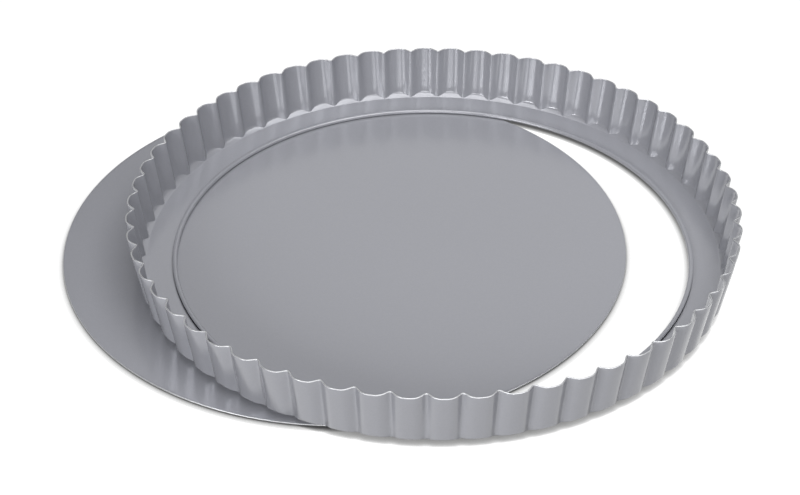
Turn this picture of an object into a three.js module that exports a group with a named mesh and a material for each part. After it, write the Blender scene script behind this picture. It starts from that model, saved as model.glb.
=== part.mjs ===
// Loose-bottom tart pan: a fluted ring pressed from one thin sheet, lying on its loose round base.
// Millimetres, +Z up. The origin is on the ring's axis, on the surface that the base lies on.

import * as THREE from 'three';

const { degToRad } = THREE.MathUtils;

// Ring: overall sizes
const RIM_RADIUS = 140; // outermost point of a lobe, at the rim
const RING_HEIGHT = 28; // from the ring's resting face to the rim
const RING_SHEET = 0.6; // sheet of the wall, flange and hem

// Ring: flutes
const FLUTE_COUNT = 60;
const FLUTE_TURN = degToRad(185.4); // place of the first fold round the axis
const RIM_FLUTE_DEPTH = 3.3; // from a fold out to a lobe, at the rim
const LIP_FLUTE_DEPTH = 3.2; // the same, where the lip begins
const FOOT_FLUTE_DEPTH = 2.7; // the same, where the wall meets the foot's cone
const RIM_FOLD_ROUNDING = 0.25; // 0 gives a sharp fold, larger values a rounder one
const FOOT_FOLD_ROUNDING = 0.45;
const LOBE_FULLNESS = 1.6; // 1 gives a sine's lobe, larger values a flatter and broader one

// Ring: wall
const LIP_HEIGHT = 2.4; // the steeper strip along the rim
const LIP_FLARE = 0.1; // how far the lip leans out over its height
const WALL_FLARE = 2.7; // how far the wall leans out from the foot to the lip

// Ring: foot, a low cone between the flange and the fluted wall
const CONE_SLOPE = degToRad(26);
const CONE_WIDTH = 0.6; // level width of the cone under a fold

// Ring: flange. It slopes down a little to the hole, where its edge is folded back over itself, so that
// the ring stands on this hem.
const FLANGE_WIDTH = 14.6; // from the foot of a fold in to the edge of the hole
const FLANGE_DROP = 1.2; // how far the flange slopes down from the cone to the hem
const HEM_WIDTH = 2.2; // strip of sheet that is folded back
const HEM_GAP = 0.8; // slit under that strip
const HEM_REST = 0.8; // flat strip under the hem that the ring stands on

// Loose base
const BASE_SHEET = 0.8;
const BASE_CLEARANCE = 1.5; // radial, to the foot of the folds, so that the base drops into the ring
const BASE_EDGE_BREAK = 0.2; // chamfer that stands for the rounded cut edge
const BASE_SLID_X = -41; // how far the base has been pulled out from under the ring
const BASE_SLID_Y = 6.8;

// Fineness
const FLUTE_COLUMNS = [0, 0.08, 0.2, 0.35, 0.5, 0.65, 0.8, 0.92]; // shares of a pitch, close at the fold
const FLANGE_COLUMNS = [0, 0.5];
const HEM_ARC_STEPS = 4;
const BASE_COLUMNS = 144;

// Worked-out places in the ring's section, as radius from the axis
const RIM_FOLD_RADIUS = RIM_RADIUS - RING_SHEET - RIM_FLUTE_DEPTH;
const LIP_FOLD_RADIUS = RIM_FOLD_RADIUS - LIP_FLARE;
const FOOT_FOLD_RADIUS = LIP_FOLD_RADIUS - WALL_FLARE;
const CONE_FOOT_RADIUS = FOOT_FOLD_RADIUS - CONE_WIDTH;
const HOLE_RADIUS = FOOT_FOLD_RADIUS - FLANGE_WIDTH;
const HEM_END_RADIUS = HOLE_RADIUS + HEM_WIDTH;
const HEM_ROUND = (2 * RING_SHEET + HEM_GAP) / 2;
const REST_START_RADIUS = HOLE_RADIUS + HEM_ROUND;
const REST_END_RADIUS = REST_START_RADIUS + HEM_REST;
const BASE_RADIUS = FOOT_FOLD_RADIUS - BASE_CLEARANCE;

// Worked-out heights above the ring's resting face
const HEM_TOP = 2 * HEM_ROUND;
const FLANGE_TOP = RING_SHEET + FLANGE_DROP; // where the flange meets the cone

// Share of the flute's depth at an angle: 0 in a fold, 1 on a lobe.
function fluteShare(angle, rounding) {
  const wave = Math.sin((FLUTE_COUNT * (angle - FLUTE_TURN)) / 2);
  const soft = Math.hypot(wave, rounding) - rounding;
  const softest = Math.hypot(1, rounding) - rounding;
  return 1 - (1 - soft / softest) ** LOBE_FULLNESS;
}

// One loop of points round the axis. place(angle) gives the radius and the height there.
function loop(columns, place) {
  const pitch = (2 * Math.PI) / FLUTE_COUNT;
  const angles = [];
  for (let flute = 0; flute < FLUTE_COUNT; flute += 1) {
    for (const share of columns) angles.push(FLUTE_TURN + (flute + share) * pitch);
  }
  const points = angles.map((angle) => {
    const [radius, height] = place(angle);
    return new THREE.Vector3(radius * Math.cos(angle), radius * Math.sin(angle), height);
  });
  return { angles: [...angles, angles[0] + 2 * Math.PI], points };
}

const plain = (radius, height) => loop(FLANGE_COLUMNS, () => [radius, height]);

// A loop of the wall's upper part, level all round.
function wallLoop(foldRadius, height, depth) {
  const radius = (angle) => foldRadius + depth * fluteShare(angle, RIM_FOLD_ROUNDING);
  return loop(FLUTE_COLUMNS, (angle) => [radius(angle), height]);
}

// The loop where the wall meets the foot's cone. The cone climbs outwards, so a lobe meets it higher
// than a fold does. The outside of the sheet lies further out and lower, by the sheet's thickness.
function footLoop(sheet) {
  const drop = sheet * Math.tan((Math.PI / 2 - CONE_SLOPE) / 2);
  return loop(FLUTE_COLUMNS, (angle) => {
    const radius = FOOT_FOLD_RADIUS + FOOT_FLUTE_DEPTH * fluteShare(angle, FOOT_FOLD_ROUNDING);
    const climb = (radius - CONE_FOOT_RADIUS) * Math.tan(CONE_SLOPE);
    return [radius + sheet, FLANGE_TOP + climb - drop];
  });
}

// The fold of the hem, from the top of its strip round the edge of the hole to the resting face.
function hemArc() {
  const loops = [];
  for (let step = 0; step <= HEM_ARC_STEPS; step += 1) {
    const angle = Math.PI / 2 + (Math.PI * step) / HEM_ARC_STEPS;
    const radius = HOLE_RADIUS + HEM_ROUND * (1 + Math.cos(angle));
    loops.push(plain(radius, HEM_ROUND * (1 + Math.sin(angle))));
  }
  return loops;
}

// The ring's closed section, as loops in order: along the hem and round its fold, out under the flange,
// up the outside of the wall, over the rim, down the inside, along the flange's top and into the slit.
function ringLoops() {
  const lipFoot = RING_HEIGHT - LIP_HEIGHT;
  return [
    plain(HEM_END_RADIUS, HEM_TOP),
    ...hemArc(),
    plain(REST_END_RADIUS, 0),
    plain(CONE_FOOT_RADIUS + RING_SHEET * Math.tan(CONE_SLOPE / 2), FLANGE_DROP),
    footLoop(RING_SHEET),
    wallLoop(LIP_FOLD_RADIUS + RING_SHEET, lipFoot, LIP_FLUTE_DEPTH),
    wallLoop(RIM_FOLD_RADIUS + RING_SHEET, RING_HEIGHT, RIM_FLUTE_DEPTH),
    wallLoop(RIM_FOLD_RADIUS, RING_HEIGHT, RIM_FLUTE_DEPTH),
    wallLoop(LIP_FOLD_RADIUS, lipFoot, LIP_FLUTE_DEPTH),
    footLoop(0),
    plain(CONE_FOOT_RADIUS, FLANGE_TOP),
    plain(REST_END_RADIUS, RING_SHEET),
    plain(REST_START_RADIUS, RING_SHEET),
    plain(REST_START_RADIUS, HEM_TOP - RING_SHEET),
    plain(HEM_END_RADIUS, HEM_TOP - RING_SHEET),
  ];
}

// Triangles between two neighbouring loops, which may differ in their number of points: the walk
// round the axis always steps on along the loop whose next point comes first.
function stitch(one, oneStart, other, otherStart, indices) {
  const oneCount = one.points.length;
  const otherCount = other.points.length;
  let i = 0;
  let j = 0;
  while (i < oneCount || j < otherCount) {
    const here = oneStart + (i % oneCount);
    const across = otherStart + (j % otherCount);
    const stepOne = j === otherCount || (i < oneCount && one.angles[i + 1] <= other.angles[j + 1]);
    if (stepOne) {
      i += 1;
      indices.push(here, oneStart + (i % oneCount), across);
    } else {
      j += 1;
      indices.push(here, otherStart + (j % otherCount), across);
    }
  }
}

function ringGeometry() {
  const loops = ringLoops();
  const starts = [];
  const points = [];
  for (const each of loops) {
    starts.push(points.length);
    points.push(...each.points);
  }
  const indices = [];
  loops.forEach((each, index) => {
    const next = (index + 1) % loops.length;
    stitch(each, starts[index], loops[next], starts[next], indices);
  });
  const geometry = new THREE.BufferGeometry().setFromPoints(points);
  geometry.setIndex(indices);
  geometry.computeVertexNormals();
  return geometry;
}

function baseGeometry() {
  const section = [
    [0, 0],
    [BASE_RADIUS - BASE_EDGE_BREAK, 0],
    [BASE_RADIUS, BASE_EDGE_BREAK],
    [BASE_RADIUS, BASE_SHEET - BASE_EDGE_BREAK],
    [BASE_RADIUS - BASE_EDGE_BREAK, BASE_SHEET],
    [0, BASE_SHEET],
  ];
  const profile = section.map(([radius, height]) => new THREE.Vector2(radius, height));
  return new THREE.LatheGeometry(profile, BASE_COLUMNS).rotateX(Math.PI / 2);
}

// Silver-grey non-stick coat on steel, the same on both pieces.
function coat(name) {
  return new THREE.MeshStandardMaterial({ name, color: 0x94979c, roughness: 0.45, metalness: 0.8 });
}

const base = new THREE.Mesh(baseGeometry(), coat('base_coat'));
base.name = 'loose_base';
base.position.set(BASE_SLID_X, BASE_SLID_Y, 0);

const ring = new THREE.Mesh(ringGeometry(), coat('ring_coat'));
ring.name = 'fluted_ring';
ring.position.z = BASE_SHEET;

const pan = new THREE.Group();
pan.name = 'tart_pan';
pan.add(base, ring);

export default pan;
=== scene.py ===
# %% [markdown]
# # A loose-bottom tart pan
# A tart pan of this kind is two pieces of thin coated steel. The ring has a fluted wall, a narrow
# flange at its foot and a hem round the big hole. The base is a plain disc that lies loose.
# Here the ring lies on top of its base, and the base has been pulled out to the left.
# We start by loading the engineer's model as a fixed frame: the pan is built in its place, and some
# of its sizes are read from it. Its box is kept, because the finished pan has to stay inside it.

import math

import bmesh
import bpy
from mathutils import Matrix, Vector


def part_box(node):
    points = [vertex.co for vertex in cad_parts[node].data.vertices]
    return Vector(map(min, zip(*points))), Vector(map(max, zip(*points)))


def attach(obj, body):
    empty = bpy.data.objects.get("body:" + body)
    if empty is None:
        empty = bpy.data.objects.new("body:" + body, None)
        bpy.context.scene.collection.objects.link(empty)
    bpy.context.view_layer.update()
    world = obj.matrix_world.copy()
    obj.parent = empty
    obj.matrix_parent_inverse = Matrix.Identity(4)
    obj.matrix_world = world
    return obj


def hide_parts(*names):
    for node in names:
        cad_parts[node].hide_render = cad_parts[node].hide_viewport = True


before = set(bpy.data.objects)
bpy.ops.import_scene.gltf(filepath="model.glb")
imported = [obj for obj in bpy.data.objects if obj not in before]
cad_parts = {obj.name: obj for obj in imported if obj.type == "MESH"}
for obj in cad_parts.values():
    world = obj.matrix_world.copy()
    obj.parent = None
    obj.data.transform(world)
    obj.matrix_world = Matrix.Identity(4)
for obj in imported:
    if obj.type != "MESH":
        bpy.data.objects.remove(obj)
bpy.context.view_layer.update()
MM = 0.001
print("Nodes in the frame:", sorted(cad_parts))

# %% [markdown]
# The camera comes first, because everything is judged through it. The pan is seen from the front,
# about 36 degrees above the table, through a lens of about 73 mm on a full-frame sensor. Its place
# was worked out from the folds of the rim, which lie on one circle at even steps.

# %% Camera
CAMERA_PLACE = Vector((0, -615.7, 448.3)) * MM
CAMERA_AIM = Vector((-15.2, -0.2, -0.1)) * MM
CAMERA_LENS_MM = 73.06


def add_camera():
    camera_data = bpy.data.cameras.new("camera")
    camera_data.lens = CAMERA_LENS_MM
    camera = bpy.data.objects.new("camera", camera_data)
    camera.location = CAMERA_PLACE
    camera.rotation_euler = (CAMERA_AIM - CAMERA_PLACE).to_track_quat("-Z", "Y").to_euler()
    bpy.context.scene.collection.objects.link(camera)
    bpy.context.scene.camera = camera


add_camera()
print("Camera distance, m:", round((CAMERA_AIM - CAMERA_PLACE).length, 3))

# %% [markdown]
# An operator in Blender acts on whatever is selected, so modelling by script needs two small
# habits: clear the selection before a new piece is added, and pick points by where they are.

# %% Selecting
def deselect_everything():
    if bpy.context.mode != "OBJECT":
        bpy.ops.object.mode_set(mode="OBJECT")
    bpy.ops.object.select_all(action="DESELECT")


def edit(piece):
    deselect_everything()
    piece.select_set(True)
    bpy.context.view_layer.objects.active = piece
    bpy.ops.object.mode_set(mode="EDIT")
    bpy.ops.mesh.select_mode(type="VERT")


def select_points(piece, wanted):
    mesh = bmesh.from_edit_mesh(piece.data)
    for point in mesh.verts:
        point.select_set(False)
    mesh.select_flush(False)
    for point in mesh.verts:
        if wanted(point):
            point.select_set(True)
    mesh.select_flush(True)
    bmesh.update_edit_mesh(piece.data)


def selected_points(piece):
    return [point for point in bmesh.from_edit_mesh(piece.data).verts if point.select]


def apply_modifier(piece, kind, **settings):
    modifier = piece.modifiers.new(kind.lower(), kind)
    for name, value in settings.items():
        setattr(modifier, name, value)
    bpy.ops.object.modifier_apply(modifier=modifier.name)


# %% [markdown]
# The frame gives the ring's height and the level that it stands on. The rest are a maker's sizes: the
# rim's radius, the sheet, the depth of the flutes at the rim and at the foot, how far the wall leans
# out, the cone at the foot, the flange that slopes down from it, and the hem. The radii of the rim, the
# hole and the hem's raw edge are true outlines, and the others run to the middle of the sheet.

# %% Sizes of the ring
ring_low, ring_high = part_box("fluted_ring")
RING_FLOOR = ring_low.z
RING_HEIGHT = ring_high.z - ring_low.z
RIM_RADIUS = 140 * MM
RING_SHEET = 0.6 * MM
FLUTES = 60
FLUTE_TURN = math.radians(185.4)
RIM_FLUTE_DEPTH = 3.3 * MM
LIP_FLUTE_DEPTH = 3.2 * MM
FOOT_FLUTE_DEPTH = 2.7 * MM
LIP_HEIGHT = 2.4 * MM
LIP_FLARE = 0.1 * MM
WALL_FLARE = 2.7 * MM
CONE_SLOPE = math.radians(26)
CONE_WIDTH = 0.6 * MM
FLANGE_WIDTH = 14.6 * MM
FLANGE_DROP = 1.2 * MM
HEM_WIDTH = 2.2 * MM
HEM_GAP = 0.8 * MM
HEM_REST = 0.8 * MM

HALF_SHEET = RING_SHEET / 2
RIM_FOLD = RIM_RADIUS - HALF_SHEET - RIM_FLUTE_DEPTH
LIP_FOLD = RIM_FOLD - LIP_FLARE
FOOT_FOLD = LIP_FOLD - WALL_FLARE
CONE_FOOT = FOOT_FOLD - CONE_WIDTH
HOLE_RADIUS = FOOT_FOLD - HALF_SHEET - FLANGE_WIDTH
HEM_END = HOLE_RADIUS + HEM_WIDTH
HEM_BEND = (RING_SHEET + HEM_GAP) / 2
HEM_CENTRE = HOLE_RADIUS + HALF_SHEET + HEM_BEND
REST_END = HEM_CENTRE + HEM_REST
FLANGE_HEIGHT = HALF_SHEET + FLANGE_DROP
print("Rim radius, mm:", RIM_RADIUS / MM, "hole radius, mm:", round(HOLE_RADIUS / MM, 2))

# %% [markdown]
# A flute is a broad rounded lobe that stands out, and the fold between two lobes is tight. One
# formula gives that outline: a sine with its lower turn kept sharp and its upper turn filled out.
# The folds are tightest at the rim and grow rounder towards the foot. The columns of points are set
# close together in the fold, where the sheet bends most.

# %% Outline of one flute
RIM_FOLD_ROUNDING = 0.25
FOOT_FOLD_ROUNDING = 0.45
LOBE_FULLNESS = 1.6
FLUTE_COLUMNS = 18
COLUMN_CROWDING = 0.6
PITCH = 2 * math.pi / FLUTES


def mix(low, high, share):
    return low + (high - low) * share


def flute_share(across, down=1.0):
    """How far out the sheet stands at a share of the pitch: 0 in the fold, 1 on the lobe."""
    rounding = mix(RIM_FOLD_ROUNDING, FOOT_FOLD_ROUNDING, down)
    wave = math.sin(math.pi * across)
    soft = math.hypot(wave, rounding) - rounding
    softest = math.hypot(1, rounding) - rounding
    return 1 - (1 - soft / softest) ** LOBE_FULLNESS


def column_share(column):
    """Share of the pitch at which a column of points stands."""
    even = column / FLUTE_COLUMNS
    return even - COLUMN_CROWDING * math.sin(2 * math.pi * even) / (2 * math.pi)


print("Finest column step, mm:", round(column_share(1) * PITCH * RIM_RADIUS / MM, 2))

# %% [markdown]
# Now the ring's section, from the rim down to the raw edge of the hem. Each row is a small function
# of the place across the flute. At the foot a low cone cuts off the corner between the wall and the
# flange. The lobes reach further out, so they meet the cone higher up, and that leaves the small
# arch that stands at the bottom of every flute: crisp on its flanks and soft at its top. The flange
# slopes down a little to the hole, where its edge is folded back over itself. The ring stands on this
# hem, and a dark slit shows under its raw edge.

# %% Section of the sheet
LIP_ROWS = 3
WALL_ROWS = 5
ARCH_ROWS = 6
BEND_ROWS = 4
FLANGE_ROWS = 8
HEM_ROWS = 10
ARCH_FLANK_ROUND = 0.45 * MM
ARCH_TOP_ROUND = 2.2 * MM
ARCH_SOFTENING = 3
ARCH_TURN = math.pi / 2 - CONE_SLOPE
BEND_ROUND = 1.4 * MM
FLANGE_SLOPE = math.atan2(FLANGE_DROP, CONE_FOOT - REST_END)


def lip_row(share):
    """From the rim (share 0) down to the wall."""
    depth = mix(RIM_FLUTE_DEPTH, LIP_FLUTE_DEPTH, share)
    radius = mix(RIM_FOLD, LIP_FOLD, share)
    return lambda across: (radius + depth * flute_share(across, 0), RING_HEIGHT - LIP_HEIGHT * share)


def arch_row(share):
    """Round the corner between the wall (share 0) and the cone."""
    angle = -share * ARCH_TURN

    def place(across):
        out = flute_share(across)
        radius = FOOT_FOLD + FOOT_FLUTE_DEPTH * out
        bend = mix(ARCH_FLANK_ROUND, ARCH_TOP_ROUND, out**ARCH_SOFTENING)
        height = FLANGE_HEIGHT + (radius - CONE_FOOT) * math.tan(CONE_SLOPE)
        height += bend * math.tan(ARCH_TURN / 2)
        return radius - bend * (1 - math.cos(angle)), height + bend * math.sin(angle)

    return place


def wall_row(share):
    """From the lip (share 0) down to the round above the cone."""
    depth = mix(LIP_FLUTE_DEPTH, FOOT_FLUTE_DEPTH, share)
    fold = mix(LIP_FOLD, FOOT_FOLD, share)

    def place(across):
        height = mix(RING_HEIGHT - LIP_HEIGHT, arch_row(0)(across)[1], share)
        return fold + depth * flute_share(across, share), height

    return place


def bend_row(share):
    """Round the corner between the cone (share 0) and the flange."""
    back = BEND_ROUND * math.tan((CONE_SLOPE - FLANGE_SLOPE) / 2)
    cosine, sine = math.cos(FLANGE_SLOPE), math.sin(FLANGE_SLOPE)
    centre_radius = CONE_FOOT - back * cosine - BEND_ROUND * sine
    centre_height = FLANGE_HEIGHT - back * sine + BEND_ROUND * cosine
    angle = -mix(ARCH_TURN, math.pi / 2 - FLANGE_SLOPE, share)
    place = (centre_radius + BEND_ROUND * math.cos(angle), centre_height + BEND_ROUND * math.sin(angle))
    return lambda across: place


def flange_row(share):
    """Down the flange from the bend (share 0) to the flat strip that the ring stands on."""
    radius, height = bend_row(1)(0)
    return lambda across: (mix(radius, REST_END, share), mix(height, HALF_SHEET, share))


def hem_row(share):
    """Round the folded edge of the hole, from the resting face (share 0) up to the strip."""
    angle = -math.pi / 2 - share * math.pi
    height = HALF_SHEET + HEM_BEND * (1 + math.sin(angle))
    return lambda across: (HEM_CENTRE + HEM_BEND * math.cos(angle), height)


def strip_end(across):
    """The raw edge of the strip that is folded back."""
    return HEM_END, HALF_SHEET + 2 * HEM_BEND


def steps(row, count, first=1):
    return [row(step / count) for step in range(first, count + 1)]


SECTION = [
    *steps(lip_row, LIP_ROWS, first=0),
    *steps(wall_row, WALL_ROWS),
    *steps(arch_row, ARCH_ROWS),
    *steps(bend_row, BEND_ROWS, first=0),
    *steps(flange_row, FLANGE_ROWS),
    *steps(hem_row, HEM_ROWS, first=0),
    strip_end,
]
print("Rows in the section:", len(SECTION))

# %% [markdown]
# To model a fluted ring by hand, you make one flute well and spin copies of it round the axis.
# The flute starts as a thin slice of a circle at the rim. That edge is extruded row by row, and
# the points of each new row are moved to their places in the section.

# %% One flute, extruded row by row
def section_place(row, column):
    share = column_share(column)
    radius, height = row(share)
    angle = FLUTE_TURN + share * PITCH
    return Vector((radius * math.cos(angle), radius * math.sin(angle), RING_FLOOR + height))


def angle_from_fold(place):
    """Angle of a place round the axis, from the first fold on. It may be a little under 0."""
    angle = math.atan2(place.y, place.x) - FLUTE_TURN
    margin = PITCH / 4
    return (angle + margin) % (2 * math.pi) - margin


def move_row(piece, row):
    """Move the selected row of points, column by column, to the row's places."""
    columns = sorted(selected_points(piece), key=lambda point: angle_from_fold(point.co))
    numbers = [point.index for point in columns]
    for column, number in enumerate(numbers):
        select_points(piece, lambda point: point.index == number)
        start = selected_points(piece)[0].co
        bpy.ops.transform.translate(value=section_place(row, column) - start)
    select_points(piece, lambda point: point.index in numbers)


def one_flute():
    deselect_everything()
    bpy.ops.mesh.primitive_circle_add(
        vertices=FLUTES * FLUTE_COLUMNS,
        radius=RIM_FOLD,
        location=(0, 0, RING_FLOOR + RING_HEIGHT),
        rotation=(0, 0, FLUTE_TURN - math.pi / 2),
    )
    piece = bpy.context.active_object
    piece.name = "fluted_sheet_ring"
    bpy.ops.object.transform_apply(location=True, rotation=True, scale=True)
    edit(piece)
    slack = PITCH / FLUTE_COLUMNS / 2
    select_points(piece, lambda point: angle_from_fold(point.co) > PITCH + slack)
    bpy.ops.mesh.delete(type="VERT")
    bpy.ops.mesh.select_all(action="SELECT")
    move_row(piece, SECTION[0])
    for row in SECTION[1:]:
        bpy.ops.mesh.extrude_region_move()
        move_row(piece, row)
    bpy.ops.object.mode_set(mode="OBJECT")
    return piece


ring = one_flute()
print("Points in one flute:", len(ring.data.vertices))

# %% [markdown]
# Spin with copies goes once round the axis. The copies meet edge to edge, so their doubled points
# are merged and the faces are turned the same way. Only then does the sheet get its thickness,
# half to each side of the middle line. Last, the cut edges are rounded a little, because the coat
# rounds them and a rounded edge is what catches the light along the rim.

# %% Sixty flutes, with the sheet's thickness
MERGE_DISTANCE = 0.002 * MM
CUT_EDGE_ROUND = 0.2 * MM
CUT_EDGE_SEGMENTS = 2
CUT_EDGE_ANGLE = math.radians(65)
CREASE_ANGLE = math.radians(50)


def spin_flutes(piece):
    edit(piece)
    bpy.ops.mesh.select_all(action="SELECT")
    bpy.ops.mesh.spin(
        steps=FLUTES - 1,
        dupli=True,
        angle=PITCH * (FLUTES - 1),
        center=(0, 0, 0),
        axis=(0, 0, 1),
    )
    bpy.ops.mesh.select_all(action="SELECT")
    bpy.ops.mesh.remove_doubles(threshold=MERGE_DISTANCE)
    bpy.ops.mesh.normals_make_consistent(inside=False)
    bpy.ops.object.mode_set(mode="OBJECT")


def round_cut_edges(piece, width, segments):
    edit(piece)
    bpy.ops.mesh.select_mode(type="EDGE")
    bpy.ops.mesh.select_all(action="DESELECT")
    bpy.ops.mesh.edges_select_sharp(sharpness=CUT_EDGE_ANGLE)
    bpy.ops.mesh.bevel(offset=width, segments=segments, affect="EDGES")
    bpy.ops.object.mode_set(mode="OBJECT")


spin_flutes(ring)
apply_modifier(
    ring, "SOLIDIFY", thickness=RING_SHEET, offset=0, use_even_offset=True, use_quality_normals=True
)
round_cut_edges(ring, CUT_EDGE_ROUND, CUT_EDGE_SEGMENTS)
bpy.ops.object.shade_smooth_by_angle(angle=CREASE_ANGLE)
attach(ring, "fluted_ring")
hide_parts("fluted_ring")
print("Faces in the ring:", len(ring.data.polygons))

# %% [markdown]
# The base is a disc stamped from slightly thicker sheet. It starts as a cylinder of the right size,
# its rim is rounded as the stamp and the coat leave it, and its two big faces are inset, so that
# the long thin triangles of a plain disc don't reach the rounded edge.

# %% Loose base
base_low, base_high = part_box("loose_base")
BASE_SHEET = base_high.z - base_low.z
BASE_RADIUS = (base_high.x - base_low.x) / 2
BASE_CENTRE = (base_low + base_high) / 2
BASE_COLUMNS = 288
BASE_EDGE_ROUND = 0.3 * MM
BASE_EDGE_SEGMENTS = 4
BASE_INSETS = (1.5 * MM, 30 * MM, 60 * MM)


def loose_base():
    deselect_everything()
    bpy.ops.mesh.primitive_cylinder_add(
        vertices=BASE_COLUMNS, radius=BASE_RADIUS, depth=BASE_SHEET, location=BASE_CENTRE
    )
    piece = bpy.context.active_object
    piece.name = "stamped_base_disc"
    bpy.ops.object.transform_apply(location=True, rotation=True, scale=True)
    round_cut_edges(piece, BASE_EDGE_ROUND, BASE_EDGE_SEGMENTS)
    edit(piece)
    bpy.ops.mesh.select_mode(type="FACE")
    mesh = bmesh.from_edit_mesh(piece.data)
    for face in mesh.faces:
        face.select_set(len(face.verts) == BASE_COLUMNS)
    bmesh.update_edit_mesh(piece.data)
    for width in BASE_INSETS:
        bpy.ops.mesh.inset(thickness=width)
    bpy.ops.object.mode_set(mode="OBJECT")
    bpy.ops.object.shade_smooth_by_angle(angle=CREASE_ANGLE)
    return piece


base = loose_base()
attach(base, "loose_base")
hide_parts("loose_base")
print("Base, mm across:", round(2 * BASE_RADIUS / MM, 1), "sheet, mm:", round(BASE_SHEET / MM, 2))

# %% [markdown]
# Shader maths is easier to read as a sum than as a chain of boxes. This small class stands for one
# output of a node. Sums and products of it add Math nodes, and its one method adds any other node.

# %% A socket that can be used in sums
class Wire:
    def __init__(self, tree, socket=None):
        self.tree = tree
        self.socket = socket

    def node(self, kind, settings=None, inputs=None, output=0):
        """Add a node: settings first, then a value or a link for each socket."""
        made = self.tree.nodes.new(kind)
        for name, value in (settings or {}).items():
            setattr(made, name, value)
        for name, value in (inputs or {}).items():
            if isinstance(value, Wire):
                self.tree.links.new(value.socket, made.inputs[name])
            else:
                made.inputs[name].default_value = value
        return Wire(self.tree, made.outputs[output] if made.outputs else None)

    def math(self, operation, first, second):
        return self.node("ShaderNodeMath", {"operation": operation}, {0: first, 1: second})

    def __add__(self, other):
        return self.math("ADD", self, other)

    def __sub__(self, other):
        return self.math("SUBTRACT", self, other)

    def __mul__(self, other):
        return self.math("MULTIPLY", self, other)

    __radd__ = __add__


def new_material(name):
    material = bpy.data.materials.new(name)
    material.use_nodes = True
    material.node_tree.nodes.clear()
    return material, Wire(material.node_tree)


# %% [markdown]
# The coat is a silver-grey non-stick finish on steel: fine metal flakes in a satin lacquer. The
# flakes give a broad soft sheen, and the clear lacquer over them a weak and much sharper one. The
# flakes are well under a millimetre, so they show as a fine grain of light and dark. Faint clouds of
# a few centimetres come from the spraying, and the roughness follows both a little. A very low bump
# keeps the reflections from being perfectly smooth. Along the cut edges the coat is thin and rubbed,
# so lighter, more metallic steel shows on the rim of the ring and round the base; that light colour is
# also a painted highlight. The hem's slit and the low part of its fold get a dark colour: painted
# shade.

# %% Coat
COAT_DARK = (0.322, 0.327, 0.358, 1)
COAT_LIGHT = (0.392, 0.398, 0.433, 1)
COAT_METALLIC = 0.2
COAT_ROUGHNESS = 0.21
LACQUER_WEIGHT = 0.4
LACQUER_ROUGHNESS = 0.15
FLAKE_SCALE = 2600
GRAIN_SCALE = 900
CLOUD_SCALE = 22
CLOUD_DETAIL = 3
FLAKE_SHARE = 0.55
GRAIN_SHARE = 0.3
CLOUD_SHARE = 0.15
NOISE_MIDDLE = 0.5
CLOUD_ROUGHENING = 0.03
GRAIN_ROUGHENING = 0.05
GRAIN_BUMP = 0.08
GRAIN_BUMP_DEPTH = 0.02 * MM
# Worn steel along the cut edges; its light colour is also a painted highlight.
WORN_STEEL_AND_HIGHLIGHT = (0.66, 0.67, 0.69, 1)
RUBBED_METALLIC = 0.6
WEAR_AND_HIGHLIGHT_DEPTH = 0.3 * MM
WEAR_AND_HIGHLIGHT_FADE = 0.15 * MM
RUBBED_SOFTENING = 0.1
# Painted shade: a dark colour put in the hem's slit and low on its fold.
PAINTED_HEM_SHADE = (0.06, 0.06, 0.065, 1)
PAINTED_SHADE_HEIGHT = 0.45 * MM
# Numbers of the colour sockets on a Mix node.
MIX_FIRST = 6
MIX_SECOND = 7
MIX_RESULT = 2


def noise(wire, place, scale, detail=2):
    return wire.node("ShaderNodeTexNoise", {}, {"Vector": place, "Scale": scale, "Detail": detail})


def blend(wire, factor, first, second):
    inputs = {"Factor": factor, MIX_FIRST: first, MIX_SECOND: second}
    return wire.node("ShaderNodeMix", {"data_type": "RGBA"}, inputs, output=MIX_RESULT)


def beyond(wire, value, edge):
    """0 on the coat, 1 within the depth of a worn edge, whose light colour is also a painted highlight.
    """
    start = edge - WEAR_AND_HIGHLIGHT_DEPTH
    inputs = {"Value": value, "From Min": start, "From Max": start + WEAR_AND_HIGHLIGHT_FADE}
    return wire.node("ShaderNodeMapRange", {"interpolation_type": "SMOOTHSTEP"}, inputs)


def worn_rim_and_highlight(wire, place):
    height = wire.node("ShaderNodeSeparateXYZ", {}, {"Vector": place}, output="Z")
    return beyond(wire, height, RING_FLOOR + RING_HEIGHT)


def painted_hem_shade_mask(wire, place):
    """Painted shade: 1 in the hem's slit and low on its fold, 0 elsewhere."""
    flat = wire.node("ShaderNodeVectorMath", {"operation": "MULTIPLY"}, {0: place, 1: (1, 1, 0)})
    radius = wire.node("ShaderNodeVectorMath", {"operation": "LENGTH"}, {0: flat}, output="Value")
    height = wire.node("ShaderNodeSeparateXYZ", {}, {"Vector": place}, output="Z")
    between = wire.math("GREATER_THAN", height, RING_FLOOR + HALF_SHEET)
    between = between * wire.math("LESS_THAN", height, RING_FLOOR + HALF_SHEET + 2 * HEM_BEND)
    within = wire.math("GREATER_THAN", radius, HOLE_RADIUS + HALF_SHEET)
    slit = between * within * wire.math("LESS_THAN", radius, HEM_END)
    low = wire.math("LESS_THAN", height, RING_FLOOR + PAINTED_SHADE_HEIGHT)
    return slit + low * wire.math("LESS_THAN", radius, HEM_CENTRE)


def worn_base_edge_and_highlight(wire, place):
    out = wire.node("ShaderNodeVectorMath", {"operation": "SUBTRACT"}, {0: place, 1: BASE_CENTRE})
    radius = wire.node("ShaderNodeVectorMath", {"operation": "LENGTH"}, {0: out}, output="Value")
    return beyond(wire, radius, BASE_RADIUS)


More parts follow.
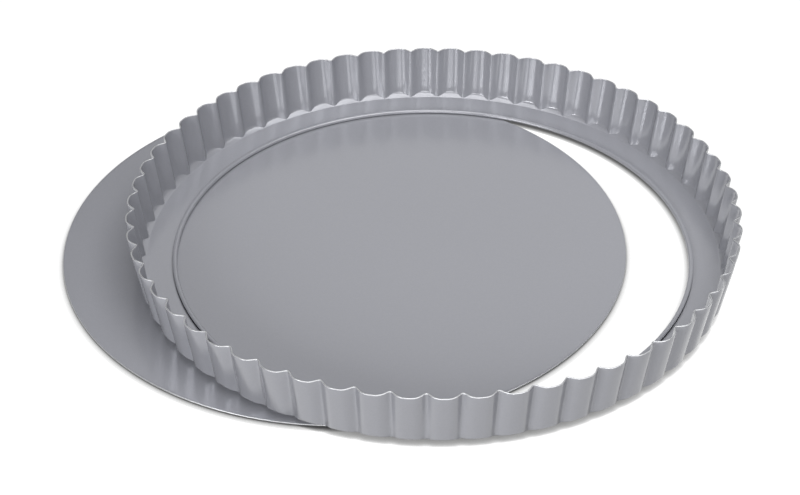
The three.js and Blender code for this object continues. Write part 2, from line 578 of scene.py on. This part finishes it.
def coat_material(name, worn_edge_and_highlight, painted_shade=None):
    material, wire = new_material(name)
    place = wire.node("ShaderNodeTexCoord", output="Object")
    flakes = noise(wire, place, FLAKE_SCALE)
    grain = noise(wire, place, GRAIN_SCALE)
    clouds = noise(wire, place, CLOUD_SCALE, CLOUD_DETAIL)
    shade = flakes * FLAKE_SHARE + grain * GRAIN_SHARE + clouds * CLOUD_SHARE
    colour = blend(wire, shade, COAT_DARK, COAT_LIGHT)
    roughness = COAT_ROUGHNESS + (clouds - NOISE_MIDDLE) * CLOUD_ROUGHENING
    roughness = roughness + (grain - NOISE_MIDDLE) * GRAIN_ROUGHENING
    inputs = {"Strength": GRAIN_BUMP, "Distance": GRAIN_BUMP_DEPTH, "Height": grain}
    bump = wire.node("ShaderNodeBump", {}, inputs)
    # Painted shade in the hem's slit and low on its fold.
    if painted_shade:
        colour = blend(wire, painted_shade(wire, place), colour, PAINTED_HEM_SHADE)
    # Light colour along the worn edges: worn steel and a painted highlight.
    wear_and_highlight = worn_edge_and_highlight(wire, place)
    finish = {
        "Base Color": blend(wire, wear_and_highlight, colour, WORN_STEEL_AND_HIGHLIGHT),
        "Metallic": COAT_METALLIC + wear_and_highlight * (RUBBED_METALLIC - COAT_METALLIC),
        "Roughness": roughness + wear_and_highlight * RUBBED_SOFTENING,
        "Normal": bump,
        "Coat Weight": LACQUER_WEIGHT,
        "Coat Roughness": LACQUER_ROUGHNESS,
    }
    surface = wire.node("ShaderNodeBsdfPrincipled", {}, finish)
    wire.node("ShaderNodeOutputMaterial", {}, {"Surface": surface})
    return material


ring.data.materials.clear()
ring.data.materials.append(coat_material("ring_coat", worn_rim_and_highlight, painted_shade=painted_hem_shade_mask))
base.data.materials.clear()
base.data.materials.append(coat_material("base_coat", worn_base_edge_and_highlight))
print("Coated:", ring.name, base.name)

# %% [markdown]
# The table is a plain floor. A part of what we see of it is lit like everything else, so it keeps
# the pan's shadow. The rest is a glow that camera, mirror and glass rays see, so that it comes out
# white without more light on the pan. The glow fades within a few millimetres of whatever stands on
# the table. This close shade is measured towards the back, so it lies in front of the edges, as under
# a soft light from behind. Tilted like that, the measure also looks below the table, where it is always
# open, so that share is taken off.

# %% Floor
FLOOR_SIZE = 12.0
FLOOR_PAINT = (0.1, 0.1, 0.1, 1)
FLOOR_GLOW = 1.0
SEEING_RAYS = ("Is Camera Ray", "Is Glossy Ray", "Is Transmission Ray")
CLOSE_SHADE = 3.2 * MM
CLOSE_SHADE_POWER = 2
CLOSE_SHADE_TILT = math.radians(65)
BELOW_TABLE = (1 - math.cos(CLOSE_SHADE_TILT)) / 2


def floor_material():
    material, wire = new_material("white_table")
    first, second, third = [wire.node("ShaderNodeLightPath", output=ray) for ray in SEEING_RAYS]
    seen = first + second + third
    towards_back = {"Y": math.sin(CLOSE_SHADE_TILT), "Z": math.cos(CLOSE_SHADE_TILT)}
    inputs = {"Distance": CLOSE_SHADE, "Normal": wire.node("ShaderNodeCombineXYZ", {}, towards_back)}
    open_share = wire.node("ShaderNodeAmbientOcclusion", {}, inputs, output="AO")
    above = wire.node("ShaderNodeMapRange", {}, {"Value": open_share, "From Min": BELOW_TABLE})
    lit = seen * wire.math("POWER", above, CLOSE_SHADE_POWER)
    paint = wire.node("ShaderNodeBsdfDiffuse", {}, {"Color": FLOOR_PAINT})
    glow = wire.node("ShaderNodeEmission", {}, {"Color": lit, "Strength": FLOOR_GLOW})
    both = wire.node("ShaderNodeAddShader", {}, {0: paint, 1: glow})
    wire.node("ShaderNodeOutputMaterial", {}, {"Surface": both})
    return material


def add_floor():
    deselect_everything()
    bpy.ops.mesh.primitive_plane_add(size=FLOOR_SIZE, location=(0, 0, 0))
    floor = bpy.context.active_object
    floor.name = "floor"
    floor.data.materials.append(floor_material())


add_floor()
print("Floor, m across:", FLOOR_SIZE)

# %% [markdown]
# Metal shows what is round it, so the lights are large and soft, and each has its own job. A wide
# panel overhead lights the base and draws the line along the rim. It hangs a little to the right, so
# the ring's soft shadow falls on the base's left part. Two low panels in front, the stronger one on
# the left, reach the front of the ring and the inside of the far wall. A weak one on the right fills
# the flutes there, and a weak one behind gives the base its sheen.

# %% Lights
WORLD_STRENGTH = 0.02
LIGHT_DISTANCE = 1.5
# Bearing from the front to the right and elevation, in degrees, then width, height and watts.
PANELS = {
    "overhead_panel": (90, 80, 1.3, 1.3, 18),
    "front_left_panel": (-40, 20, 0.7, 0.7, 11),
    "front_panel": (0, 20, 0.7, 0.7, 7),
    "front_right_panel": (40, 42, 0.7, 0.7, 3.4),
    "back_panel": (175, 34, 1.0, 0.7, 1.4),
}


def panel(name, bearing, elevation, width, height, watts):
    """A soft panel that faces the pan's middle."""
    turn, tilt = math.radians(bearing), math.radians(elevation)
    away = Vector((math.cos(tilt) * math.sin(turn), -math.cos(tilt) * math.cos(turn), math.sin(tilt)))
    light_data = bpy.data.lights.new(name, "AREA")
    light_data.shape = "RECTANGLE"
    light_data.size = width
    light_data.size_y = height
    light_data.energy = watts
    light = bpy.data.objects.new(name, light_data)
    light.location = away * LIGHT_DISTANCE
    light.rotation_euler = (-away).to_track_quat("-Z", "Y").to_euler()
    bpy.context.scene.collection.objects.link(light)


def world_light():
    world = bpy.data.worlds.new("studio")
    bpy.context.scene.world = world
    world.use_nodes = True
    background = world.node_tree.nodes["Background"]
    background.inputs["Color"].default_value = (1, 1, 1, 1)
    background.inputs["Strength"].default_value = WORLD_STRENGTH


world_light()
for name, settings in PANELS.items():
    panel(name, *settings)
bpy.context.scene.view_settings.view_transform = "Standard"
print("Lights:", list(PANELS))

# %% [markdown]
# Last, the selection is cleared.

# %% Clearing the selection
deselect_everything()
